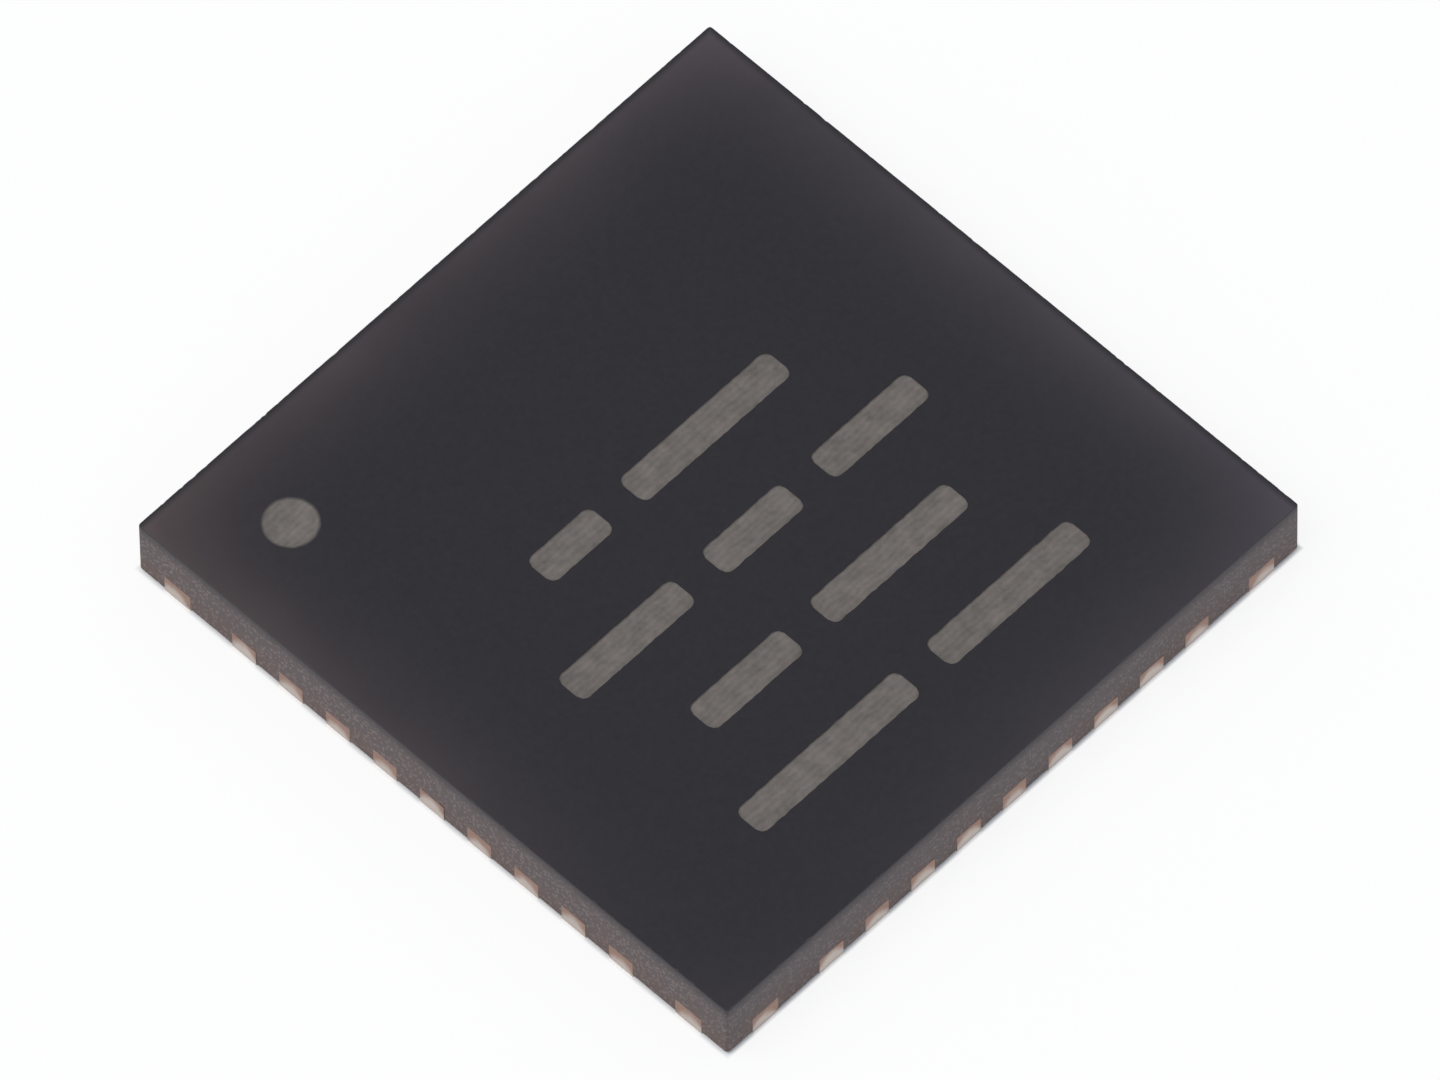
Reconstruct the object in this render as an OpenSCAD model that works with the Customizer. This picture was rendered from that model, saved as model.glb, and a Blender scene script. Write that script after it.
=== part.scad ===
// Quad flat no-lead chip package, sawn from a moulded array.
// Millimetres, +Z up. The origin is the middle of the underside, on the plane of the solder lands.
// Pin 1 is at the +Y end of the -X side. Pins count down -X, along -Y, up +X and back along +Y.

/* [Moulded body] */
// Length of each side of the square body
body_side = 5; // [4.8:0.05:5.6]
// Height from the solder lands to the top face
body_height = 0.5; // [0.46:0.01:0.9]
// Height of the moulding above the solder lands
standoff = 0.02; // [0.01:0.005:0.05]
// Diameter of the pin 1 dot
dot_diameter = 0.375; // [0.2:0.005:0.5]
// Distance from the two edges at pin 1 to the middle of the dot
dot_inset = 0.66; // [0.4:0.01:0.9]
// Depth of the pin 1 dot below the top face
dot_depth = 0.012; // [0.005:0.001:0.03]

/* [Copper frame] */
// Thickness of the copper sheet
frame_thickness = 0.152; // [0.12:0.002:0.18]
// Thickness of copper left where the underside is etched away
etched_thickness = 0.076; // [0.05:0.002:0.09]
// Number of terminals on each side
leads_per_side = 9; // [4:1:10]
// Distance between neighbouring terminals
lead_pitch = 0.4; // [0.3:0.01:0.42]
// Width of a terminal
lead_width = 0.2; // [0.15:0.01:0.25]
// Length of a terminal's solder land
lead_length = 0.4; // [0.3:0.01:0.45]
// Reach of the etched ledge past the inner end of a solder land
lead_ledge = 0.05; // [0.02:0.005:0.06]

/* [Die paddle] */
// Length of each side of the exposed pad
pad_side = 3.7; // [3.4:0.05:3.8]
// Length of the bevel that marks the pad's pin 1 corner
pad_bevel = 0.35; // [0.2:0.01:0.5]
// Corner radius of the exposed pad
pad_radius = 0.1; // [0.05:0.01:0.15]
// Reach of the etched ledge round the exposed pad
pad_ledge = 0.08; // [0.03:0.005:0.1]
// Length of each corner anchor along the sides of the body
anchor_side = 0.44; // [0.36:0.01:0.5]
// Length at each corner of the body that is kept free of copper
anchor_free = 0.22; // [0.12:0.01:0.28]
// Width of the etched bars from the paddle to the anchors
tie_bar_width = 0.2; // [0.1:0.01:0.26]
// Length of each bar that lies inside its anchor
tie_bar_seat = 0.15; // [0.14:0.01:0.2]

/* [Die] */
// Length of the die along X
die_length = 2.8; // [2.4:0.05:3]
// Length of the die along Y
die_width = 2.6; // [2.4:0.05:3]
// Thickness of the die
die_thickness = 0.125; // [0.08:0.005:0.15]
// Thickness of the coat on the die, which is open over each bond pad
coat_thickness = 0.005; // [0.002:0.001:0.007]
// Thickness of the adhesive film under the die
attach_thickness = 0.02; // [0.01:0.005:0.03]
// Reach of the adhesive's fillet past the edges of the die
attach_margin = 0.06; // [0.02:0.01:0.1]
// Height that the fillet climbs up the sides of the die
attach_climb = 0.05; // [0.02:0.005:0.07]

/* [Bond wires] */
// Diameter of the wire
wire_diameter = 0.02; // [0.016:0.001:0.03]
// Diameter of the ball bond on the die
ball_diameter = 0.05; // [0.04:0.002:0.06]
// Height of the ball bond
ball_height = 0.014; // [0.01:0.001:0.018]
// Width of the flat ring on top of a ball, round the wire
ball_shoulder = 0.004; // [0.002:0.001:0.006]
// Height of the wire loops above the die
loop_height = 0.1; // [0.095:0.005:0.12]
// Radius of the bend over each ball, at the middle of the wire
bend_radius = 0.05; // [0.04:0.005:0.055]
// Extra radius of the wire round the bend, where it is squeezed
bend_swell = 0.001; // [0.001:0.0005:0.002]
// Length of straight wire that ends inside the bend
bend_overlap = 0.004; // [0.002:0.001:0.005]
// Distance between neighbouring balls along an edge of the die
ball_pitch = 0.25; // [0.15:0.005:0.26]
// Distance from the edge of the die to the middle of the balls
ball_inset = 0.07; // [0.05:0.005:0.1]
// Gap between a ball and the edges of the opening in the coat round it
ball_clearance = 0.01; // [0.006:0.001:0.014]
// Diameter of the flat stitch on a terminal
stitch_diameter = 0.06; // [0.04:0.005:0.08]
// Thickness of the flat stitch
stitch_height = 0.006; // [0.004:0.001:0.008]
// Distance from the inner tip of a terminal to the middle of its stitch
stitch_inset = 0.1; // [0.06:0.005:0.15]

/* [Hidden] */
$fn = 48;
SIDES = 4;
STITCH_FLATS = 8;
WIRE_SEGMENTS = 16;
lead_count = SIDES * leads_per_side;
half_side = body_side / 2;
etched_level = frame_thickness - etched_thickness;
die_level = frame_thickness + attach_thickness;
die_top = die_level + die_thickness;
pad_level = die_top - coat_thickness;
// Distance that a cut runs past the surface it opens
cut_through = 0.1;
mould_colour = "#36353a";
copper_colour = "#c08a66";
tin_colour = "#cdbaac";
silver_epoxy_colour = "#b9b8b2";
silicon_colour = "#5b6470";
wire_colour = "#c98a5a";

function terminal_name(i) = str("terminal_", i);
function first_lead(side) = side * leads_per_side + 1;
function last_lead(side) = (side + 1) * leads_per_side;
function wires_name(side) = str("bond_wires_", first_lead(side), "_", last_lead(side));

// A side's own frame has +X straight out of the body and +Y along the side, the way the pins count.
module on_side(side) {
    rotate(180 + 90 * side)
        children();
}

// Place of a terminal, ball or other thing in the row along a side, from the side's middle
function row_offset(place, pitch) = (place - (leads_per_side - 1) / 2) * pitch;

// Half the length of the die along a side's own +X
function die_reach(side) = (side % 2 == 0 ? die_length : die_width) / 2;

// Distance from the middle of the die to the row of balls along a side
function ball_reach(side) = die_reach(side) - ball_inset;

// Copper frame

// Extrudes an outline down from the top face of the copper sheet.
module from_frame_top(depth) {
    translate([0, 0, frame_thickness])
        mirror([0, 0, 1])
            linear_extrude(depth)
                children();
}

module lead_outline(length) {
    translate([half_side - length + lead_width / 2, -lead_width / 2])
        square([length - lead_width / 2, lead_width]);
    translate([half_side - length + lead_width / 2, 0])
        circle(d = lead_width);
}

module terminal(i) {
    side = floor((i - 1) / leads_per_side);
    place = (i - 1) % leads_per_side;
    color(tin_colour)
        on_side(side)
            translate([0, row_offset(place, lead_pitch), 0]) {
                linear_extrude(etched_level)
                    lead_outline(lead_length);
                from_frame_top(etched_thickness)
                    lead_outline(lead_length + lead_ledge);
            }
}

module rounded_square(side, radius) {
    corner = side / 2 - radius;
    square([side, side - 2 * radius], center = true);
    square([side - 2 * radius, side], center = true);
    for (x = [-corner, corner], y = [-corner, corner])
        translate([x, y])
            circle(radius);
}

// The bevel of an outline that lies a ledge outside another one is longer by this share of the ledge.
bevel_growth = 2 - sqrt(2);

module pad_outline(ledge) {
    side = pad_side + 2 * ledge;
    bevel = pad_bevel + bevel_growth * ledge;
    difference() {
        rounded_square(side, pad_radius + ledge);
        translate([-side / 2, side / 2])
            rotate(45)
                square([2 * bevel, sqrt(2) * bevel], center = true);
    }
}

module anchor_outlines() {
    for (side = [0 : SIDES - 1])
        on_side(side)
            translate([half_side, half_side])
                difference() {
                    translate([-anchor_side, -anchor_side])
                        square(anchor_side);
                    translate([-anchor_free, -anchor_free])
                        square(anchor_free + cut_through);
                }
}

module tie_bar_outlines() {
    corner_reach = sqrt(2) * (half_side - anchor_side) + tie_bar_seat;
    for (side = [0 : SIDES - 1])
        rotate(45 + 90 * side)
            translate([0, -tie_bar_width / 2])
                square([corner_reach, tie_bar_width]);
}

module die_paddle() {
    color(copper_colour) {
        linear_extrude(etched_level) {
            pad_outline(0);
            anchor_outlines();
        }
        from_frame_top(etched_thickness) {
            pad_outline(pad_ledge);
            tie_bar_outlines();
            anchor_outlines();
        }
    }
}

// Die and its adhesive

module fillet_profile() {
    polygon([
        [0, 0],
        [attach_margin, 0],
        [0, attach_thickness + attach_climb]
    ]);
}

// The film under the die, and the fillet that it squeezes out along each edge and round each corner
module die_attach() {
    color(silver_epoxy_colour)
        translate([0, 0, frame_thickness]) {
            linear_extrude(attach_thickness)
                square([die_length, die_width], center = true);
            for (side = [0 : SIDES - 1])
                on_side(side)
                    translate([die_reach(side), die_reach(side + 1), 0]) {
                        rotate([90, 0, 0])
                            linear_extrude(2 * die_reach(side + 1))
                                fillet_profile();
                        rotate_extrude(angle = 90)
                            fillet_profile();
                    }
        }
}

module pad_openings(side) {
    for (place = [0 : leads_per_side - 1])
        translate([ball_reach(side), row_offset(place, ball_pitch), pad_level])
            linear_extrude(coat_thickness + cut_through)
                square(ball_diameter + 2 * ball_clearance, center = true);
}

module die() {
    color(silicon_colour)
        difference() {
            translate([0, 0, die_level])
                linear_extrude(die_thickness)
                    square([die_length, die_width], center = true);
            for (side = [0 : SIDES - 1])
                on_side(side)
                    pad_openings(side);
        }
}

// Bond wires

wire_radius = wire_diameter / 2;
// Height at which the wire over a ball turns into the bend
neck_top = die_top + loop_height - bend_radius - wire_radius - bend_swell;

module ball_and_neck() {
    waist = ball_height / 2;
    translate([0, 0, pad_level]) {
        rotate_extrude()
            polygon([
                [0, 0],
                [ball_diameter / 2, 0],
                [ball_diameter / 2, waist],
                [wire_radius + ball_shoulder, ball_height],
                [0, ball_height]
            ]);
        translate([0, 0, waist])
            cylinder(h = neck_top - pad_level - waist + bend_overlap, r = wire_radius);
    }
}

// The frame at the middle of a wire's bend, with +X along the span that leaves it
module at_bend(slope) {
    translate([bend_radius, 0, neck_top])
        rotate([0, slope, 0])
            children();
}

module bend(slope) {
    at_bend(slope)
        rotate([90, 0, 0])
            rotate_extrude(angle = 90 + slope, start = 90)
                translate([bend_radius, 0])
                    circle(wire_radius + bend_swell);
}

// The straight span and its flat stitch, cut off at the top face of the terminal
module span_and_stitch(reach, length, slope) {
    overrun = wire_diameter / tan(slope);
    cut_reach = overrun + stitch_diameter;
    difference() {
        union() {
            at_bend(slope)
                translate([-bend_overlap, 0, bend_radius])
                    rotate([0, 90, 0])
                        cylinder(h = bend_overlap + length + overrun, r = wire_radius);
            translate([reach, 0, frame_thickness - stitch_height])
                rotate(180 / STITCH_FLATS)
                    cylinder(h = 2 * stitch_height, d = stitch_diameter, $fn = STITCH_FLATS);
        }
        translate([reach, 0, 0])
            from_frame_top(cut_reach)
                square(2 * cut_reach, center = true);
    }
}

function thousandths(x) = round(1000 * x) / 1000;

// One wire over the XZ plane, from a ball at x = 0 to a stitch at x = reach
module bond_wire(reach) {
    across = reach - bend_radius;
    down = neck_top - frame_thickness;
    length = sqrt(across * across + down * down - bend_radius * bend_radius);
    slope = thousandths(atan2(bend_radius, length) + atan2(down, across));
    ball_and_neck();
    bend(slope);
    span_and_stitch(reach, length, slope);
}

module bond_wires(side) {
    $fn = WIRE_SEGMENTS;
    across = half_side - lead_length - lead_ledge + stitch_inset - ball_reach(side);
    color(wire_colour)
        on_side(side)
            for (place = [0 : leads_per_side - 1]) {
                along = row_offset(place, lead_pitch) - row_offset(place, ball_pitch);
                translate([ball_reach(side), row_offset(place, ball_pitch), 0])
                    rotate(atan2(along, across))
                        bond_wire(sqrt(across * across + along * along));
            }
}

// Moulded body, cast round all the other pieces

module mould_body() {
    color(mould_colour)
        difference() {
            translate([-half_side, -half_side, standoff])
                cube([body_side, body_side, body_height - standoff]);
            translate([dot_inset - half_side, half_side - dot_inset, body_height - dot_depth])
                cylinder(h = dot_depth + cut_through, d = dot_diameter);
            die_paddle();
            for (i = [1 : lead_count])
                terminal(i);
            die_attach();
            die();
            for (side = [0 : SIDES - 1])
                bond_wires(side);
        }
}

mould_body();
die_paddle();
die_attach();
die();
for (i = [1 : lead_count])
    terminal(i);
for (side = [0 : SIDES - 1])
    bond_wires(side);
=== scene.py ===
import math

import bmesh
import bpy
from mathutils import Matrix, Vector, noise


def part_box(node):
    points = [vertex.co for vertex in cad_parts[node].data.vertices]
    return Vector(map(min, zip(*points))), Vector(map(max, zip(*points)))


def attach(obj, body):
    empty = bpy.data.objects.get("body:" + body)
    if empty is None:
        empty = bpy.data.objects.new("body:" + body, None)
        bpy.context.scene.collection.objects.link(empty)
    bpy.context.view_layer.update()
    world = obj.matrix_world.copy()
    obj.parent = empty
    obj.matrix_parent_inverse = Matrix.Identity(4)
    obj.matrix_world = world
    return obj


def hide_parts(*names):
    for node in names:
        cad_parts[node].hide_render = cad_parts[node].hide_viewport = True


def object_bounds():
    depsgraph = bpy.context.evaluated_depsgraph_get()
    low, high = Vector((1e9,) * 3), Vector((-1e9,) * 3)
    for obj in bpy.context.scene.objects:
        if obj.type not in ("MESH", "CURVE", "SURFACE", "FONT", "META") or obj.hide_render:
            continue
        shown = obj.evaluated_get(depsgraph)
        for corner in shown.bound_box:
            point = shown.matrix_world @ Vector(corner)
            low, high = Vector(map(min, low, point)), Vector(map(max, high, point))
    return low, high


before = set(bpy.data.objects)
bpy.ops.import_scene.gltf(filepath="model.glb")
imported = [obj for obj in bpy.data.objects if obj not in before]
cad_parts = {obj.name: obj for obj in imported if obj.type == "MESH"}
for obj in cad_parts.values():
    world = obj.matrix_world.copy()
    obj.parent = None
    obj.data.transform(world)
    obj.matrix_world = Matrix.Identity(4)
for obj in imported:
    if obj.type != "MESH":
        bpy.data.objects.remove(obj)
cad_low, cad_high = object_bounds()


# Die paddle: the copper pad that carries the die, with its tie bars and corner anchors in one piece.
# It is etched from sheet, half-etched from below so that the epoxy grips its rim, and tin-plated where
# the underside stays bare. The saw that parts the packages leaves the anchors' ends bright.
MM = 0.001
MICRON = 1e-6
half_side = cad_high.x / MM
lowest_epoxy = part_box("mould_body")[0].z / MM
same_place = 1e-5


def linear(hex_colour):
    """An sRGB hex colour as linear red, green, blue and alpha."""
    shares = [int(hex_colour[i:i + 2], 16) / 255 for i in (1, 3, 5)]
    return [s / 12.92 if s <= 0.04045 else ((s + 0.055) / 1.055) ** 2.4 for s in shares] + [1.0]


def add_node(tree, kind, inputs=(), **settings):
    """A new node with its settings, whose inputs take a value or a link from another node's output."""
    node = tree.nodes.new(kind)
    for name, value in settings.items():
        setattr(node, name, value)
    for socket, value in dict(inputs).items():
        if isinstance(value, bpy.types.NodeSocket):
            tree.links.new(value, node.inputs[socket])
        else:
            node.inputs[socket].default_value = value
    return node


def new_finish(name):
    """A material with an empty node tree."""
    finish = bpy.data.materials.new(name)
    finish.use_nodes = True
    finish.node_tree.nodes.clear()
    return finish


def cad_copy(name):
    """A node's solid as a merged mesh in millimetres."""
    copy = bmesh.new()
    copy.from_mesh(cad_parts[name].data)
    bmesh.ops.transform(copy, matrix=Matrix.Scale(1 / MM, 4), verts=copy.verts)
    bmesh.ops.remove_doubles(copy, verts=copy.verts, dist=same_place)
    return copy


def from_middle(tree, place):
    """How far a place lies from the middle of the package, towards the side that is nearest to it."""
    away = add_node(tree, "ShaderNodeVectorMath", {0: place}, operation="ABSOLUTE").outputs["Vector"]
    away = add_node(tree, "ShaderNodeSeparateXYZ", {"Vector": away}).outputs
    return add_node(tree, "ShaderNodeMath", {0: away["X"], 1: away["Y"]}, operation="MAXIMUM").outputs[0]


def mesh_of(shape, name, *finishes):
    """An object that holds a mesh in millimetres, with its materials."""
    mesh = bpy.data.meshes.new(name)
    shape.to_mesh(mesh)
    shape.free()
    for finish in finishes:
        mesh.materials.append(finish)
    holder = bpy.data.objects.new(name, mesh)
    bpy.context.scene.collection.objects.link(holder)
    return holder


def harden(holder):
    """Turns an object and its modifiers into one plain mesh."""
    graph = bpy.context.evaluated_depsgraph_get()
    mesh = bpy.data.meshes.new_from_object(holder.evaluated_get(graph), depsgraph=graph)
    holder.modifiers.clear()
    holder.data = mesh


def settle(holder):
    """Finishes a piece drawn in millimetres: a plain mesh in metres that rides on the package."""
    harden(holder)
    holder.data.transform(Matrix.Scale(MM, 4))
    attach(holder, "root")


# Etched copper under matte tin: the tin is a soft pale grey with a fine plated grain. On a sawn end the
# blade has dragged tin up from the lower edge in a low dome, and brown bare copper is left above it. The
# inner ends of the terminals have a white spot of silver on top for the bond wires to stick to.
# Plated grain and saw lines are a few microns wide, and are drawn coarser here so that they show.
grain_width, cloud_width, drag_width = 14 * MICRON, 500 * MICRON, 50 * MICRON
saw_line_length, saw_line_width = 160 * MICRON, 11 * MICRON
saw_skin, plating_blur = 3 * MICRON, 4 * MICRON
dome_low, dome_high, dome_drop, dome_blur = 70 * MICRON, 130 * MICRON, 70 * MICRON, 45 * MICRON
silver_start, silver_full = 180 * MICRON, 200 * MICRON
tinned_copper = new_finish("etched_copper_matte_tin")
tree = tinned_copper.node_tree
place = add_node(tree, "ShaderNodeTexCoord").outputs["Object"]
height = add_node(tree, "ShaderNodeSeparateXYZ", {"Vector": place}).outputs["Z"]
outward = from_middle(tree, place)
saw_plane = half_side * MM
sawn = add_node(tree, "ShaderNodeMapRange", {
    "Value": outward,
    "From Min": saw_plane - 2 * saw_skin,
    "From Max": saw_plane - saw_skin,
}).outputs["Result"]
plated_grain = add_node(tree, "ShaderNodeTexNoise", {
    "Vector": place,
    "Scale": 1 / grain_width,
    "Detail": 2.0,
}).outputs[0]
cloudy = add_node(tree, "ShaderNodeTexNoise", {
    "Vector": place,
    "Scale": 1 / cloud_width,
    "Detail": 3.0,
}).outputs[0]
along_cut = add_node(tree, "ShaderNodeMapping", {
    "Vector": place,
    "Scale": [1 / saw_line_length, 1 / saw_line_length, 1 / saw_line_width],
}).outputs["Vector"]
saw_lines = add_node(tree, "ShaderNodeTexNoise", {
    "Vector": along_cut,
    "Scale": 1.0,
    "Detail": 2.0,
}).outputs[0]
drag = add_node(tree, "ShaderNodeTexNoise", {
    "Vector": place,
    "Scale": 1 / drag_width,
    "Detail": 2.0,
}).outputs[0]
smear_share = add_node(tree, "ShaderNodeAttribute", attribute_name="smear").outputs["Fac"]
drag = add_node(tree, "ShaderNodeMath", {0: drag, 1: smear_share}, operation="ADD").outputs[0]
smear_top = add_node(tree, "ShaderNodeMapRange", {
    "Value": drag,
    "From Min": 0.3,
    "From Max": 1.5,
    "To Min": dome_low,
    "To Max": dome_high,
}).outputs["Result"]
across = add_node(tree, "ShaderNodeAttribute", attribute_name="across").outputs["Fac"]
dome = add_node(tree, "ShaderNodeMath", {0: across, 1: across}, operation="MULTIPLY").outputs[0]
smear_top = add_node(tree, "ShaderNodeMath", {
    0: dome,
    1: -dome_drop,
    2: smear_top,
}, operation="MULTIPLY_ADD").outputs[0]
above_smear = add_node(tree, "ShaderNodeMath", {0: height, 1: smear_top}, operation="SUBTRACT").outputs[0]
smear = add_node(tree, "ShaderNodeMapRange", {
    "Value": above_smear,
    "From Min": dome_blur,
    "From Max": -dome_blur,
}, interpolation_type="SMOOTHSTEP").outputs["Result"]
smear = add_node(tree, "ShaderNodeMath", {0: smear, 1: sawn}, operation="MULTIPLY").outputs[0]
plated = add_node(tree, "ShaderNodeMapRange", {
    "Value": height,
    "From Min": lowest_epoxy * MM,
    "From Max": lowest_epoxy * MM - plating_blur,
}).outputs["Result"]
tin = add_node(tree, "ShaderNodeMath", {0: plated, 1: smear}, operation="MAXIMUM").outputs[0]
copper_colour = add_node(tree, "ShaderNodeMix", {
    0: saw_lines,
    6: linear("#a07d6c"),
    7: linear("#7c5d50"),
}, data_type="RGBA").outputs[2]
tin_colour = add_node(tree, "ShaderNodeMix", {
    0: cloudy,
    6: linear("#b9ada6"),
    7: linear("#cac1bb"),
}, data_type="RGBA").outputs[2]
surface_colour = add_node(tree, "ShaderNodeMix", {
    0: tin,
    6: copper_colour,
    7: tin_colour,
}, data_type="RGBA").outputs[2]
sheet_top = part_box("die_paddle")[1].z
on_top = add_node(tree, "ShaderNodeMapRange", {
    "Value": height,
    "From Min": sheet_top - 2 * MICRON,
    "From Max": sheet_top - MICRON,
}).outputs["Result"]
inner_end = add_node(tree, "ShaderNodeMapRange", {
    "Value": outward,
    "From Min": saw_plane - silver_start,
    "From Max": saw_plane - silver_full,
}).outputs["Result"]
silver = add_node(tree, "ShaderNodeAttribute", attribute_name="silver").outputs["Fac"]
for share in (on_top, inner_end):
    silver = add_node(tree, "ShaderNodeMath", {0: silver, 1: share}, operation="MULTIPLY").outputs[0]
surface_colour = add_node(tree, "ShaderNodeMix", {
    0: silver,
    6: surface_colour,
    7: linear("#dedbd5"),
}, data_type="RGBA").outputs[2]
polish = add_node(tree, "ShaderNodeMapRange", {
    "Value": tin,
    "To Min": 0.34,
    "To Max": 0.46,
}).outputs["Result"]
relief = add_node(tree, "ShaderNodeMix", {0: sawn, 2: plated_grain, 3: saw_lines}).outputs[0]
dents = add_node(tree, "ShaderNodeBump", {
    "Strength": 0.35,
    "Distance": 3 * MICRON,
    "Height": relief,
}).outputs["Normal"]
metal = add_node(tree, "ShaderNodeBsdfPrincipled", {
    "Base Color": surface_colour,
    "Metallic": 1.0,
    "Roughness": polish,
    "Normal": dents,
}).outputs[0]
add_node(tree, "ShaderNodeOutputMaterial", {"Surface": metal})

plated_edge, flat_within = 0.006, math.radians(1)
anchor_smear, dome_lean = 0.35, 0.25
paddle = cad_copy("die_paddle")
bmesh.ops.dissolve_limit(paddle, angle_limit=flat_within, verts=paddle.verts, edges=paddle.edges)
lower_rims = [
    edge for edge in paddle.edges
    if max(corner.co.z for corner in edge.verts) < lowest_epoxy / 2
    and all(max(abs(corner.co.x), abs(corner.co.y)) < half_side - plated_edge for corner in edge.verts)
]
bmesh.ops.bevel(paddle, geom=lower_rims, offset=plated_edge, segments=3, profile=0.5, affect="EDGES")

# The tin on the anchors' ends, in a dome that leans towards the corner of the package
smear_layer = paddle.verts.layers.float.new("smear")
across_layer = paddle.verts.layers.float.new("across")
sawn_ends = [
    min(abs(corner.co.x), abs(corner.co.y)) for corner in paddle.verts
    if max(abs(corner.co.x), abs(corner.co.y)) > half_side - same_place
]
anchor_start, anchor_end = min(sawn_ends), max(sawn_ends)
for corner in paddle.verts:
    along = min(abs(corner.co.x), abs(corner.co.y))
    corner[smear_layer] = anchor_smear
    corner[across_layer] = 2 * (along - anchor_start) / (anchor_end - anchor_start) - 1 - dome_lean
paddle = mesh_of(paddle, "plated_die_paddle", tinned_copper)
settle(paddle)
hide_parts("die_paddle")


# Terminals: thirty-six lands of the same copper sheet, nine to a side, each with a round inner end and
# an etched ledge that locks it into the epoxy. The saw cuts them flush with the sides of the body and
# drags a thin lip of metal along the cut.
first_low, first_high = (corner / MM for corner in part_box("terminal_1"))
second_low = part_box("terminal_2")[0] / MM
terminal_names = [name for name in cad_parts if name.startswith("terminal_")]
SIDES = 4
places = len(terminal_names) // SIDES
lead_pitch = first_low.y - second_low.y
lead_width = first_high.y - first_low.y
tip_reach = first_high.x - first_low.x
sheet = first_high.z
land_reach = 0.4
plated_rim, rim_shoulder = 0.007, 0.002
etch_start, etch_level = 0.076, 0.1
saw_lip, least_lip = 0.006, 0.25
ETCH_STEPS, TIP_STEPS, END_STEPS, UPPER_STEPS = 5, 16, 10, 4


def close_rings(shape, rings):
    """Joins rings of corners, from the lowest up, and closes both ends. Gives the faces of the wall."""
    wall = []
    for below, above in zip(rings, rings[1:]):
        for i in range(len(below)):
            wall.append(shape.faces.new((below[i - 1], below[i], above[i], above[i - 1])))
    shape.faces.new(reversed(rings[0]))
    shape.faces.new(rings[-1])
    return wall


# Levels of the terminal from its land up, each with the inset of its rim and its reach from the side
levels = [
    (0.0, plated_rim, land_reach),
    (rim_shoulder, rim_shoulder, land_reach),
    (plated_rim, 0.0, land_reach),
    (lowest_epoxy, 0.0, land_reach),
]
for step in range(ETCH_STEPS + 1):
    turn = math.pi / 2 * step / ETCH_STEPS
    rise = (etch_level - etch_start) * math.sin(turn)
    levels.append((etch_start + rise, 0.0, tip_reach - (tip_reach - land_reach) * math.cos(turn)))
for step in range(1, UPPER_STEPS + 1):
    levels.append((etch_level + (sheet - etch_level) * step / UPPER_STEPS, 0.0, tip_reach))

terminal = bmesh.new()
lip_layer = terminal.verts.layers.float.new("lip")
across_layer = terminal.verts.layers.float.new("across")
silver_layer = terminal.verts.layers.float.new("silver")
rings = []
for z, inset, reach in levels:
    half_width = lead_width / 2 - inset
    tip_middle = half_side - reach + lead_width / 2
    ring = []
    for step in range(TIP_STEPS + 1):
        turn = math.pi / 2 + math.pi * step / TIP_STEPS
        ring.append(terminal.verts.new((
            tip_middle + half_width * math.cos(turn),
            half_width * math.sin(turn),
            z,
        )))
    for step in range(END_STEPS + 1):
        across = 2 * step / END_STEPS - 1
        corner = terminal.verts.new((half_side, half_width * across, z))
        corner[across_layer] = across
        dragged = least_lip + (1 - least_lip) * max(0.0, across) ** 3
        corner[lip_layer] = dragged * min(1.0, z / lowest_epoxy)
        ring.append(corner)
    rings.append(ring)
close_rings(terminal, rings)
for corner in rings[-1]:
    corner[silver_layer] = 1.0
bmesh.ops.recalc_face_normals(terminal, faces=terminal.faces)


def new_tree(name, inputs, result):
    """A Geometry Nodes tree with named inputs and one result, and the sockets that its inputs give."""
    tree = bpy.data.node_groups.new(name, "GeometryNodeTree")
    for label, kind in inputs.items():
        tree.interface.new_socket(label, in_out="INPUT", socket_type=kind)
    tree.interface.new_socket(result, in_out="OUTPUT", socket_type="NodeSocketGeometry")
    return tree, add_node(tree, "NodeGroupInput").outputs


# The rows, as a tree: a point for each terminal, turned to its side, and a saw lip of random size
tree, given = new_tree("rows_of_terminals", {
    "Terminal": "NodeSocketGeometry",
    "Places": "NodeSocketInt",
    "Pitch": "NodeSocketFloat",
    "Saw lip": "NodeSocketFloat",
    "Seed": "NodeSocketInt",
    "Finish": "NodeSocketMaterial",
}, "Terminals")
count = add_node(tree, "ShaderNodeMath", {0: given["Places"], 1: SIDES}, operation="MULTIPLY").outputs[0]
points = add_node(tree, "GeometryNodePoints", {"Count": count}).outputs["Points"]
index = add_node(tree, "GeometryNodeInputIndex").outputs["Index"]
side = add_node(tree, "ShaderNodeMath", {0: index, 1: given["Places"]}, operation="DIVIDE").outputs[0]
side = add_node(tree, "ShaderNodeMath", {0: side}, operation="FLOOR").outputs[0]
turn = add_node(tree, "ShaderNodeMath", {
    0: side,
    1: 2 * math.pi / SIDES,
    2: math.pi,
}, operation="MULTIPLY_ADD").outputs[0]
spot = add_node(tree, "ShaderNodeMath", {0: index, 1: given["Places"]}, operation="MODULO").outputs[0]
middle = add_node(tree, "ShaderNodeMath", {
    0: given["Places"],
    1: 0.5,
    2: -0.5,
}, operation="MULTIPLY_ADD").outputs[0]
spot = add_node(tree, "ShaderNodeMath", {0: spot, 1: middle}, operation="SUBTRACT").outputs[0]
spot = add_node(tree, "ShaderNodeMath", {0: spot, 1: given["Pitch"]}, operation="MULTIPLY").outputs[0]
spot = add_node(tree, "ShaderNodeCombineXYZ", {"Y": spot}).outputs["Vector"]
spot = add_node(tree, "ShaderNodeVectorRotate", {
    "Vector": spot,
    "Angle": turn,
}, rotation_type="Z_AXIS").outputs["Vector"]
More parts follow.
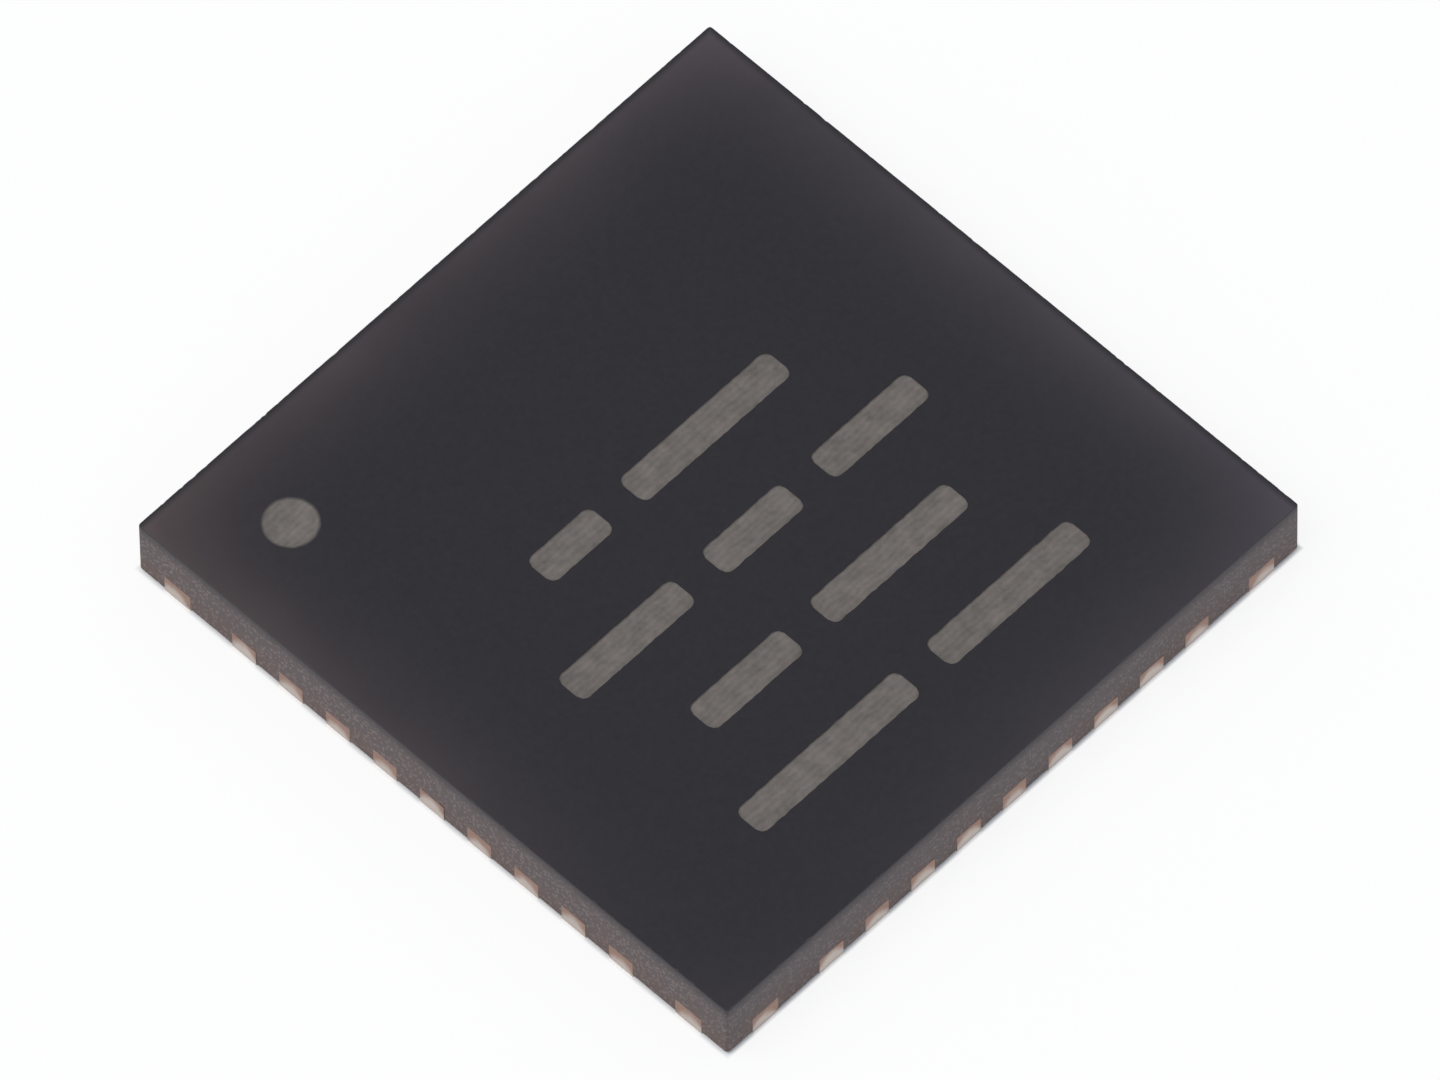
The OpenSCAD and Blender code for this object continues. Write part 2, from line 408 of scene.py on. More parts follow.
turned = add_node(tree, "ShaderNodeCombineXYZ", {"Z": turn}).outputs["Vector"]
turned = add_node(tree, "FunctionNodeEulerToRotation", {"Euler": turned}).outputs["Rotation"]
points = add_node(tree, "GeometryNodeSetPosition", {
    "Geometry": points,
    "Position": spot,
}).outputs["Geometry"]
rows = add_node(tree, "GeometryNodeInstanceOnPoints", {
    "Points": points,
    "Instance": given["Terminal"],
    "Rotation": turned,
}).outputs["Instances"]
share = add_node(tree, "FunctionNodeRandomValue", {"Seed": given["Seed"]}, data_type="FLOAT").outputs[1]
rows = add_node(tree, "GeometryNodeStoreNamedAttribute", {
    "Geometry": rows,
    "Name": "smear",
    "Value": share,
}, data_type="FLOAT", domain="INSTANCE").outputs["Geometry"]
rows = add_node(tree, "GeometryNodeRealizeInstances", {"Geometry": rows}).outputs["Geometry"]
lip = add_node(tree, "GeometryNodeInputNamedAttribute", {"Name": "lip"}, data_type="FLOAT").outputs[0]
smear = add_node(tree, "GeometryNodeInputNamedAttribute", {"Name": "smear"}, data_type="FLOAT").outputs[0]
lip = add_node(tree, "ShaderNodeMath", {0: lip, 1: smear}, operation="MULTIPLY").outputs[0]
lip = add_node(tree, "ShaderNodeMath", {0: lip, 1: given["Saw lip"]}, operation="MULTIPLY").outputs[0]
outwards = add_node(tree, "GeometryNodeInputNormal").outputs["Normal"]
outwards = add_node(tree, "ShaderNodeVectorMath", {
    0: outwards,
    "Scale": lip,
}, operation="SCALE").outputs["Vector"]
rows = add_node(tree, "GeometryNodeSetPosition", {
    "Geometry": rows,
    "Offset": outwards,
}).outputs["Geometry"]
rows = add_node(tree, "GeometryNodeSetMaterial", {
    "Geometry": rows,
    "Material": given["Finish"],
}).outputs["Geometry"]
add_node(tree, "NodeGroupOutput", {"Terminals": rows})


def grow(holder, tree, **values):
    """Puts a tree on an object and sets its named inputs."""
    modifier = holder.modifiers.new(tree.name, "NODES")
    modifier.node_group = tree
    for item in tree.interface.items_tree:
        key = item.name.replace(" ", "_").lower()
        if item.in_out == "INPUT" and key in values:
            modifier[item.identifier] = values[key]


terminals = mesh_of(terminal, "sawn_terminals", tinned_copper)
grow(terminals, tree, places=places, pitch=lead_pitch, saw_lip=saw_lip, seed=7, finish=tinned_copper)
settle(terminals)
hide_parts(*terminal_names)


# Die attach: a thin film of epoxy full of silver flakes, dabbed on the paddle, pressed out by the die
# and cured. It squeezes out past the die's edges and climbs them in a fillet.

# Silver-filled epoxy, cured: pale flakes that glint in a duller grey ground. The flakes are a few microns
# wide, and are drawn coarser so that they show.
flake_width = 12 * MICRON
silver_epoxy = new_finish("silver_filled_epoxy_cured")
tree = silver_epoxy.node_tree
place = add_node(tree, "ShaderNodeTexCoord").outputs["Object"]
flakes = add_node(tree, "ShaderNodeTexVoronoi", {"Vector": place, "Scale": 1 / flake_width}).outputs
flake_colour = add_node(tree, "ShaderNodeMix", {
    0: flakes["Distance"],
    6: linear("#cfcdc6"),
    7: linear("#8f8d88"),
}, data_type="RGBA").outputs[2]
flake_polish = add_node(tree, "ShaderNodeMapRange", {
    "Value": flakes["Distance"],
    "To Min": 0.35,
    "To Max": 0.7,
}).outputs["Result"]
paste = add_node(tree, "ShaderNodeBsdfPrincipled", {
    "Base Color": flake_colour,
    "Metallic": 0.7,
    "Roughness": flake_polish,
}).outputs[0]
add_node(tree, "ShaderNodeOutputMaterial", {"Surface": paste})
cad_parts["die_attach"].material_slots[0].material = silver_epoxy


# Die: a sawn piece of silicon with the circuit on its upper face, under a clear coat that is open over
# the row of aluminium bond pads along each edge.
coat_thickness, cell_pitch = 5 * MICRON, 20 * MICRON
pad_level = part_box("die")[1].z - coat_thickness

# Passivated silicon: large blocks of memory and small ones of logic show as fields of slightly different
# grey under a glassy coat. The sawn sides are plain dark silicon, and the pads are bare bright aluminium.
# Rows of cells are about a micron apart, and are drawn much coarser so that they show.
patterned_silicon = new_finish("silicon_die_passivated")
tree = patterned_silicon.node_tree
place = add_node(tree, "ShaderNodeTexCoord").outputs["Object"]
height = add_node(tree, "ShaderNodeSeparateXYZ", {"Vector": place}).outputs["Z"]
circuit = add_node(tree, "ShaderNodeMapRange", {
    "Value": height,
    "From Min": pad_level - 3 * MICRON,
    "From Max": pad_level - 2 * MICRON,
}).outputs["Result"]
pad = add_node(tree, "ShaderNodeMath", {
    0: height,
    1: pad_level,
    2: MICRON,
}, operation="COMPARE").outputs[0]
memory = add_node(tree, "ShaderNodeTexBrick", {
    "Vector": place,
    "Color1": linear("#717783"),
    "Color2": linear("#515b6a"),
    "Mortar": linear("#4a525e"),
    "Scale": 1 / MM,
    "Mortar Size": 0.006,
    "Brick Width": 0.95,
    "Row Height": 0.52,
}, offset=0.4, squash=0.55).outputs["Color"]
logic = add_node(tree, "ShaderNodeTexBrick", {
    "Vector": place,
    "Color1": linear("#868a8f"),
    "Color2": linear("#47515f"),
    "Mortar": linear("#5b636e"),
    "Scale": 1 / MM,
    "Mortar Size": 0.003,
    "Brick Width": 0.13,
    "Row Height": 0.08,
}, offset=0.3, squash=1.7, squash_frequency=3).outputs["Color"]
blocks = add_node(tree, "ShaderNodeMix", {0: 0.3, 6: memory, 7: logic}, data_type="RGBA").outputs[2]
WAVE_PERIOD = math.tau / 20  # What a wave texture of scale 1 repeats by
rows_of_cells = add_node(tree, "ShaderNodeTexWave", {
    "Vector": place,
    "Scale": WAVE_PERIOD / cell_pitch,
}).outputs["Fac"]
cell_polish = add_node(tree, "ShaderNodeMapRange", {
    "Value": rows_of_cells,
    "To Min": 0.2,
    "To Max": 0.3,
}).outputs["Result"]
die_colour = add_node(tree, "ShaderNodeMix", {
    0: circuit,
    6: linear("#4a4c52"),
    7: blocks,
}, data_type="RGBA").outputs[2]
die_colour = add_node(tree, "ShaderNodeMix", {
    0: pad,
    6: die_colour,
    7: linear("#d2d2cf"),
}, data_type="RGBA").outputs[2]
silicon = add_node(tree, "ShaderNodeBsdfPrincipled", {
    "Base Color": die_colour,
    "Metallic": 0.6,
    "Roughness": cell_polish,
    "Coat Weight": 0.4,
}).outputs[0]
add_node(tree, "ShaderNodeOutputMaterial", {"Surface": silicon})
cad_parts["die"].material_slots[0].material = patterned_silicon


# Bond wires: fine copper wire with a thin palladium skin, melted to a ball on the die, looped and then
# pressed flat on the terminal. Each side's nine wires are one node.

# Coated copper wire, drawn: smooth and bright, grey where the skin is whole and copper-coloured where it
# has thinned.
thin_spot = 18 * MICRON
drawn_wire = new_finish("coated_copper_wire_drawn")
tree = drawn_wire.node_tree
place = add_node(tree, "ShaderNodeTexCoord").outputs["Object"]
skin_wear = add_node(tree, "ShaderNodeTexNoise", {
    "Vector": place,
    "Scale": 1 / thin_spot,
    "Detail": 2.0,
}).outputs[0]
wire_colour = add_node(tree, "ShaderNodeMix", {
    0: skin_wear,
    6: linear("#b9b2ac"),
    7: linear("#cf9a78"),
}, data_type="RGBA").outputs[2]
wire_polish = add_node(tree, "ShaderNodeMapRange", {
    "Value": skin_wear,
    "To Min": 0.2,
    "To Max": 0.4,
}).outputs["Result"]
wire = add_node(tree, "ShaderNodeBsdfPrincipled", {
    "Base Color": wire_colour,
    "Metallic": 1.0,
    "Roughness": wire_polish,
}).outputs[0]
add_node(tree, "ShaderNodeOutputMaterial", {"Surface": wire})
for name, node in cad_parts.items():
    if name.startswith("bond_wires"):
        node.material_slots[0].material = drawn_wire


# Mould body: black epoxy with glass filler, cast round everything above in one large block and sawn
# into squares. The mould leaves its top matte, the saw leaves the sides lighter and streaked, with
# small chips along the edges, and part of the sides' paleness is painted light. A shallow round dot in the
# top marks pin 1.
body_top = cad_high.z / MM
corner_radius = 0.022
edge_break, break_slope = 0.005, 0.3
wear_width, wear_share = 0.012, 0.4
lower_wear_width, lower_wear_share = 0.02, 0.5
chip_width, chip_threshold, chip_depth = 0.03, 0.25, 0.018
STATIONS, CORNER_STEPS = 220, 3

# Moulded epoxy from a spark-eroded mould: a dull charcoal with a fine even grain, a little paler and
# warmer near the edges. A painted sheen makes this pale rim strongest at the +X and +Y sides, and along
# those two sides the last 60 microns carry a painted shade line. The grain of the mould is about 20
# microns wide, and is drawn twice as coarse so that it shows.
grain_width, cloud_width = 40 * MICRON, 900 * MICRON
rim_reach, rim_falloff, edge_shade_width = 1400 * MICRON, 4.5, 60 * MICRON
# Painted sheen: the way towards the far corner where it is strongest, where it ends at the near corner,
# and how much of it is left there
far_corner_way, near_corner, near_share = (1.0, 1.6, 0.0), -5.3 * MM, 0.15
moulded_epoxy = new_finish("black_epoxy_moulded_matte")
tree = moulded_epoxy.node_tree
place = add_node(tree, "ShaderNodeTexCoord").outputs["Object"]
grain = add_node(tree, "ShaderNodeTexNoise", {
    "Vector": place,
    "Scale": 1 / grain_width,
    "Detail": 3.0,
    "Roughness": 0.6,
}).outputs[0]
cloudy = add_node(tree, "ShaderNodeTexNoise", {
    "Vector": place,
    "Scale": 1 / cloud_width,
    "Detail": 3.0,
}).outputs[0]
outward = add_node(tree, "ShaderNodeVectorMath", {0: place}, operation="ABSOLUTE").outputs["Vector"]
outward = add_node(tree, "ShaderNodeSeparateXYZ", {"Vector": outward}).outputs
to_edge = []
for axis in ("X", "Y"):
    near = add_node(tree, "ShaderNodeMapRange", {
        "Value": outward[axis],
        "From Min": saw_plane - rim_reach,
        "From Max": saw_plane,
    }).outputs["Result"]
    near = add_node(tree, "ShaderNodeMath", {0: near, 1: rim_falloff}, operation="POWER").outputs[0]
    to_edge.append(near)
# The pale rim along the edges, which the painted sheen and the painted shade line below then scale
pale_rim_and_sheen = add_node(tree, "ShaderNodeMath", {0: to_edge[0], 1: to_edge[1]}, operation="ADD").outputs[0]
far_edge = add_node(tree, "ShaderNodeSeparateXYZ", {"Vector": place}).outputs
far_edge = add_node(tree, "ShaderNodeMath", {
    0: far_edge["X"],
    1: far_edge["Y"],
}, operation="MAXIMUM").outputs[0]
# Painted shade: the last 60 microns inside the +X and +Y edges keep the dark base colour
clear_of_painted_edge_shade = add_node(tree, "ShaderNodeMapRange", {
    "Value": far_edge,
    "From Min": saw_plane,
    "From Max": saw_plane - edge_shade_width,
}, interpolation_type="SMOOTHSTEP").outputs["Result"]
# Painted sheen: the pale rim is strongest towards the far +X, +Y corner and fades to a small share at the
# near corner
to_far_corner = add_node(tree, "ShaderNodeVectorMath", {
    0: place,
    1: far_corner_way,
}, operation="DOT_PRODUCT").outputs["Value"]
painted_sheen_share = add_node(tree, "ShaderNodeMapRange", {
    "Value": to_far_corner,
    "From Min": near_corner,
    "From Max": 0.0,
    "To Min": near_share,
    "To Max": 1.0,
}).outputs["Result"]
uneven = add_node(tree, "ShaderNodeMapRange", {
    "Value": cloudy,
    "To Min": 0.23,
    "To Max": 0.7,
}).outputs["Result"]
for share in (clear_of_painted_edge_shade, painted_sheen_share, uneven):
    pale_rim_and_sheen = add_node(tree, "ShaderNodeMath", {0: pale_rim_and_sheen, 1: share}, operation="MULTIPLY").outputs[0]
base_colour = add_node(tree, "ShaderNodeMix", {
    0: grain,
    6: linear("#212026"),
    7: linear("#302f34"),
}, data_type="RGBA").outputs[2]
to_pin_1 = add_node(tree, "ShaderNodeVectorMath", {
    0: place,
    1: (-1.0, 1.0, 0.0),
}, operation="DOT_PRODUCT").outputs["Value"]
warmth = add_node(tree, "ShaderNodeMapRange", {
    "Value": to_pin_1,
    "From Min": -2 * saw_plane,
    "From Max": 2 * saw_plane,
}).outputs["Result"]
rim_colour = add_node(tree, "ShaderNodeMix", {
    0: warmth,
    6: linear("#565259"),
    7: linear("#594e4e"),
}, data_type="RGBA").outputs[2]
skin_colour = add_node(tree, "ShaderNodeMix", {
    0: pale_rim_and_sheen,
    6: base_colour,
    7: rim_colour,
}, data_type="RGBA").outputs[2]
skin_polish = add_node(tree, "ShaderNodeMapRange", {
    "Value": grain,
    "To Min": 0.55,
    "To Max": 0.75,
}).outputs["Result"]
pits = add_node(tree, "ShaderNodeBump", {
    "Strength": 0.4,
    "Distance": 4 * MICRON,
    "Height": grain,
}).outputs["Normal"]
epoxy = add_node(tree, "ShaderNodeBsdfPrincipled", {
    "Base Color": skin_colour,
    "Roughness": skin_polish,
    "Specular IOR Level": 0.15,
    "Normal": pits,
}).outputs[0]
add_node(tree, "ShaderNodeOutputMaterial", {"Surface": epoxy})

# Sawn filled epoxy: cut glass beads show as pale specks in a grey-brown ground, combed into fine lines by
# the blade. The ground is drawn paler than the cut epoxy really is, as painted light from the front. The
# skin at the top holds fewer beads and is darker, and low down dragged metal makes it browner. The saw
# lines are a few microns wide, and are drawn coarser so that they show.
saw_line_length, saw_line_width = 220 * MICRON, 13 * MICRON
bead_width, patch_width, patch_strength = 24 * MICRON, 300 * MICRON, 1.6
brown_from, brown_full = 330 * MICRON, 60 * MICRON
skin_depth, skin_past = 125 * MICRON, 15 * MICRON
sawn_epoxy = new_finish("black_epoxy_sawn")
tree = sawn_epoxy.node_tree
place = add_node(tree, "ShaderNodeTexCoord").outputs["Object"]
height = add_node(tree, "ShaderNodeSeparateXYZ", {"Vector": place}).outputs["Z"]
along_cut = add_node(tree, "ShaderNodeMapping", {
    "Vector": place,
    "Scale": [1 / saw_line_length, 1 / saw_line_length, 1 / saw_line_width],
}).outputs["Vector"]
saw_lines = add_node(tree, "ShaderNodeTexNoise", {
    "Vector": along_cut,
    "Scale": 1.0,
    "Detail": 3.0,
}).outputs[0]
beads = add_node(tree, "ShaderNodeTexVoronoi", {"Vector": place, "Scale": 1 / bead_width}).outputs
bead_tone = add_node(tree, "ShaderNodeSeparateColor", {"Color": beads["Color"]}).outputs[0]
bead_edge = add_node(tree, "ShaderNodeMapRange", {
    "Value": beads["Distance"],
    "From Min": 0.5,
    "From Max": 0.3,
}).outputs["Result"]
bead = add_node(tree, "ShaderNodeMath", {0: bead_edge, 1: bead_tone}, operation="MULTIPLY").outputs[0]
low_down = add_node(tree, "ShaderNodeMapRange", {
    "Value": height,
    "From Min": brown_from,
    "From Max": brown_full,
}, interpolation_type="SMOOTHSTEP").outputs["Result"]
skin = add_node(tree, "ShaderNodeMapRange", {
    "Value": height,
    "From Min": cad_high.z - skin_depth,
    "From Max": cad_high.z + skin_past,
}, interpolation_type="SMOOTHSTEP").outputs["Result"]
patches = add_node(tree, "ShaderNodeTexNoise", {
    "Vector": place,
    "Scale": 1 / patch_width,
    "Detail": 2.0,
}).outputs[0]
patches = add_node(tree, "ShaderNodeMath", {0: patches, 1: 0.5}, operation="SUBTRACT").outputs[0]
browner = add_node(tree, "ShaderNodeMath", {
    0: patches,
    1: patch_strength,
    2: low_down,
}, operation="MULTIPLY_ADD", use_clamp=True).outputs[0]
# Painted light: these ground colours are paler than the cut epoxy, standing in for light from the front
ground = add_node(tree, "ShaderNodeMix", {
    0: browner,
    6: linear("#5d5558"),
    7: linear("#66534d"),
}, data_type="RGBA").outputs[2]
ground = add_node(tree, "ShaderNodeMix", {
    0: saw_lines,
    6: ground,
    7: linear("#514646"),
}, data_type="RGBA").outputs[2]
sawn_colour = add_node(tree, "ShaderNodeMix", {
    0: bead,
    6: ground,
    7: linear("#776c6b"),
}, data_type="RGBA").outputs[2]
sawn_colour = add_node(tree, "ShaderNodeMix", {
    0: skin,
    6: sawn_colour,
    7: linear("#39363a"),
}, data_type="RGBA").outputs[2]
scratches = add_node(tree, "ShaderNodeBump", {
    "Strength": 0.4,
    "Distance": 3 * MICRON,
    "Height": saw_lines,
}).outputs["Normal"]
sawn_side = add_node(tree, "ShaderNodeBsdfPrincipled", {
    "Base Color": sawn_colour,
    "Roughness": 0.6,
    "Specular IOR Level": 0.3,
    "Normal": scratches,
}).outputs[0]
add_node(tree, "ShaderNodeOutputMaterial", {"Surface": sawn_side})

# Laser-burnt epoxy: the beam has gone to and fro and burnt the dark skin off. It leaves a pale grey,
# rough and blotchy bed with faint lines along its way, and the skin is left at the sloping edges.
blotch_width, beam_pitch, beam_share = 90 * MICRON, 45 * MICRON, 0.1
skin_slope = 5 * MICRON
burnt_epoxy = new_finish("black_epoxy_laser_burnt")
tree = burnt_epoxy.node_tree
place = add_node(tree, "ShaderNodeTexCoord").outputs["Object"]
height = add_node(tree, "ShaderNodeSeparateXYZ", {"Vector": place}).outputs["Z"]
blotches = add_node(tree, "ShaderNodeTexNoise", {
    "Vector": place,
    "Scale": 1 / blotch_width,
    "Detail": 4.0,
    "Roughness": 0.6,
}).outputs[0]
beam_lines = add_node(tree, "ShaderNodeTexWave", {
    "Vector": place,
    "Scale": WAVE_PERIOD / beam_pitch,
    "Distortion": 5.0,
    "Detail": 3.0,
}, bands_direction="Y").outputs["Fac"]
burn = add_node(tree, "ShaderNodeMix", {0: beam_share, 2: blotches, 3: beam_lines}).outputs[0]
skin_left = add_node(tree, "ShaderNodeMapRange", {
    "Value": height,
    "From Min": cad_high.z - skin_slope,
    "From Max": cad_high.z,
}).outputs["Result"]
burnt_colour = add_node(tree, "ShaderNodeMix", {
    0: burn,
    6: linear("#474340"),
    7: linear("#857e79"),
}, data_type="RGBA").outputs[2]
burnt_colour = add_node(tree, "ShaderNodeMix", {
    0: skin_left,
    6: burnt_colour,
    7: linear("#2b2a2f"),
}, data_type="RGBA").outputs[2]
rough_bed = add_node(tree, "ShaderNodeBump", {
    "Strength": 0.5,
    "Distance": 4 * MICRON,
    "Height": burn,
}).outputs["Normal"]
burnt = add_node(tree, "ShaderNodeBsdfPrincipled", {
    "Base Color": burnt_colour,
    "Roughness": 0.85,
    "Specular IOR Level": 0.25,
    "Normal": rough_bed,
}).outputs[0]
add_node(tree, "ShaderNodeOutputMaterial", {"Surface": burnt})


def perimeter():
    """Points of the sawn square with the way out at each, round its four small corners."""
    straight = half_side - corner_radius
    for side in range(SIDES):
        facing = math.pi / 2 * side
        out = Vector((math.cos(facing), math.sin(facing), 0))
        along = Vector((-out.y, out.x, 0))
        for step in range(STATIONS + 1):
            yield out * half_side + along * straight * (2 * step / STATIONS - 1), out
        for step in range(1, CORNER_STEPS):
            bent = facing + math.pi / 2 * step / CORNER_STEPS
            way = Vector((math.cos(bent), math.sin(bent), 0))
            yield (out + along) * straight + way * corner_radius, way


# The worn block: two rings of corners make its broken lower edge, and three its broken upper edge
SAWN = 1
LEVELS = 5
other_noise = Vector((0, 0, 9))
block = bmesh.new()
rings = [[] for _ in range(LEVELS)]
for point, out in perimeter():
    bite = max(0.0, noise.noise(point / chip_width) - chip_threshold)
    wear = edge_break * (1 + wear_share * noise.noise(point / wear_width)) + chip_depth * bite
    lower_noise = noise.noise(point / lower_wear_width + other_noise)
    lower_wear = edge_break * (1 + lower_wear_share * lower_noise)
    for ring, (z, inset) in zip(rings, (
        (lowest_epoxy, lower_wear),
        (lowest_epoxy + lower_wear, 0.0),
        (body_top - wear, 0.0),
        (body_top - break_slope * wear, break_slope * wear),
        (body_top, wear),
    )):
        spot = point - out * inset
        ring.append(block.verts.new((spot.x, spot.y, z)))
for face in close_rings(block, rings):
    face.material_index = SAWN
body = mesh_of(block, "cast_mould_body", moulded_epoxy, sawn_epoxy)

# The casting inside: the pockets that the metal, die and wires fill, from the solid itself. Its outer
# faces are drawn out past the worn block, so that the block's own faces are the ones left outside.
dot_depth = 0.012
cut_past, face_slack = 0.05, 1e-4
casting = cad_copy("mould_body")
for corner in casting.verts:
    for axis in (0, 1):
        if abs(corner.co[axis]) > half_side - face_slack:
            corner.co[axis] += math.copysign(cut_past, corner.co[axis])
    if corner.co.z > body_top - 2 * dot_depth:
        corner.co.z = body_top + cut_past
    if corner.co.z < lowest_epoxy + face_slack:
        corner.co.z -= cut_past
bmesh.ops.remove_doubles(casting, verts=casting.verts, dist=same_place)

# The dot at pin 1, a shallow dish with a sloping rim: shares of the rim's width and of the depth, from the
# floor up, and then a ring above the body to cut with. Its outline is a little ragged.
DOT_STEPS = 64
dot_inset, dot_diameter, dot_rim = 0.66, 0.375, 0.05
dot_ragged, dot_bumps = 0.004, 3
dot_slope = ((1.0, 1.0), (0.75, 0.9), (0.35, 0.3), (0.0, 0.0))
dot_levels = [(dot_diameter / 2 - inward * dot_rim, -down * dot_depth) for inward, down in dot_slope]
dot_levels.append((dot_diameter / 2, cut_past))

dish = bmesh.new()
dot_rings = []
for radius, rise in dot_levels:
    ring = []
    for step in range(DOT_STEPS):
        turn = 2 * math.pi * step / DOT_STEPS
        way = Vector((math.cos(turn), math.sin(turn), 0))
        ragged = radius + dot_ragged * noise.noise(way * dot_bumps)
        ring.append(dish.verts.new((
            dot_inset - half_side + ragged * math.cos(turn),
            half_side - dot_inset + ragged * math.sin(turn),
            body_top + rise,
        )))
    dot_rings.append(ring)
close_rings(dish, dot_rings)

# The laser mark: rows of plain bars burnt ten microns into the top. Its tree makes each bar from a line:
# flat-bottomed, with sloping sides, round ends and edges that waver a little.
bar_rows = ((0.55, 1.3), (1.0, 0.7, 0.85), (0.8, 1.2), (1.4, 1.25))
first_row, row_pitch, bar_gap = 0.5, 0.72, 0.25
bar_width, bar_depth, bar_slope = 0.24, 0.01, 0.03
station_share, end_share, end_width = 0.06, 0.25, 0.5
waver_share, wavers_per_mm = 0.07, 14.0

bars = bmesh.new()
for row, lengths in enumerate(bar_rows):
    start = -(sum(lengths) + bar_gap * (len(lengths) - 1)) / 2
    for length in lengths:
        y = first_row - row_pitch * row
        ends = [bars.verts.new((x, y, body_top)) for x in (start, start + length)]
        bars.edges.new(ends)
        start += length + bar_gap

tree, given = new_tree("laser_bars", {
    "Lines": "NodeSocketGeometry",
    "Width": "NodeSocketFloat",
    "Depth": "NodeSocketFloat",
    "Slope": "NodeSocketFloat",
    "Finish": "NodeSocketMaterial",
}, "Bars")
spacing, end_radius = (add_node(tree, "ShaderNodeMath", {
    0: given["Width"],
    1: share,
}, operation="MULTIPLY").outputs[0] for share in (station_share, end_share))
lines = add_node(tree, "GeometryNodeMeshToCurve", {"Mesh": given["Lines"]}).outputs["Curve"]
lines = add_node(tree, "GeometryNodeResampleCurve", {
    "Curve": lines,
    "Length": spacing,
}, mode="LENGTH").outputs["Curve"]
lines = add_node(tree, "GeometryNodeSetCurveNormal", {"Curve": lines}, mode="Z_UP").outputs["Curve"]
length = add_node(tree, "GeometryNodeSplineLength").outputs["Length"]
walked = add_node(tree, "GeometryNodeSplineParameter").outputs["Length"]
left = add_node(tree, "ShaderNodeMath", {0: length, 1: walked}, operation="SUBTRACT").outputs[0]
to_end = add_node(tree, "ShaderNodeMath", {0: walked, 1: left}, operation="MINIMUM").outputs[0]
round_end = add_node(tree, "ShaderNodeMapRange", {
    "Value": to_end,
    "From Max": end_radius,
    "To Min": 1.0,
    "To Max": 0.0,
}).outputs["Result"]
round_end = add_node(tree, "ShaderNodeMath", {0: round_end, 1: 2.0}, operation="POWER").outputs[0]
round_end = add_node(tree, "ShaderNodeMath", {0: 1.0, 1: round_end}, operation="SUBTRACT").outputs[0]
round_end = add_node(tree, "ShaderNodeMath", {0: round_end}, operation="SQRT").outputs[0]
round_end = add_node(tree, "ShaderNodeMapRange", {
    "Value": round_end,
    "To Min": end_width,
}).outputs["Result"]
waver = add_node(tree, "ShaderNodeTexNoise", {"Scale": wavers_per_mm, "Detail": 2.0}).outputs[0]
waver = add_node(tree, "ShaderNodeMapRange", {
    "Value": waver,
    "To Min": 1 - waver_share,
    "To Max": 1 + waver_share,
}).outputs["Result"]
breadth = add_node(tree, "ShaderNodeMath", {0: round_end, 1: waver}, operation="MULTIPLY").outputs[0]
trough_height = add_node(tree, "ShaderNodeMath", {
    0: given["Depth"],
    1: 2.0,
}, operation="MULTIPLY").outputs[0]
trough_floor, trough_mouth = (add_node(tree, "ShaderNodeMath", {
    0: given["Slope"],
    1: both_sides,
    2: given["Width"],
}, operation="MULTIPLY_ADD").outputs[0] for both_sides in (-2.0, 2.0))
trough = add_node(tree, "GeometryNodeCurvePrimitiveQuadrilateral", {
    "Height": trough_height,
    "Bottom Width": trough_floor,
    "Top Width": trough_mouth,
    "Offset": 0.0,
}, mode="TRAPEZOID").outputs["Curve"]
bars_cut = add_node(tree, "GeometryNodeCurveToMesh", {
    "Curve": lines,
    "Profile Curve": trough,
    "Scale": breadth,
    "Fill Caps": True,
}).outputs["Mesh"]
bars_cut = add_node(tree, "GeometryNodeSetShadeSmooth", {
    "Geometry": bars_cut,
    "Shade Smooth": False,
}).outputs["Geometry"]
bars_cut = add_node(tree, "GeometryNodeRealizeInstances", {"Geometry": bars_cut}).outputs["Geometry"]
bars_cut = add_node(tree, "GeometryNodeSetMaterial", {
    "Geometry": bars_cut,
    "Material": given["Finish"],
}).outputs["Geometry"]
add_node(tree, "NodeGroupOutput", {"Bars": bars_cut})

laser_bars = mesh_of(bars, "laser_bars", burnt_epoxy)
grow(laser_bars, tree, width=bar_width, depth=bar_depth, slope=bar_slope, finish=burnt_epoxy)
harden(laser_bars)

casting = mesh_of(casting, "casting", moulded_epoxy)
dish = mesh_of(dish, "dot", burnt_epoxy)
for cutter, operation in ((casting, "INTERSECT"), (dish, "DIFFERENCE"), (laser_bars, "DIFFERENCE")):
    cut = body.modifiers.new(cutter.name, "BOOLEAN")
    cut.operation = operation
    cut.solver = "EXACT"
    cut.material_mode = "TRANSFER"
    cut.object = cutter
settle(body)
for cutter in (casting, dish, laser_bars):
    bpy.data.objects.remove(cutter)
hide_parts("mould_body")


# Table and light: a plain white table top under one broad lamp and a soft white sky, which is a little
# cooler on its -Y side. Colours come out about as they are written.
table_size = 0.4


def seen_share(tree):
    """1 for rays that show a surface to the camera, in a mirror or through glass, and 0 for the rest."""
    ray = add_node(tree, "ShaderNodeLightPath").outputs
    share = ray["Is Camera Ray"]
    for kind in ("Is Glossy Ray", "Is Transmission Ray"):
        share = add_node(tree, "ShaderNodeMath", {0: share, 1: ray[kind]}, operation="MAXIMUM").outputs[0]
    return share


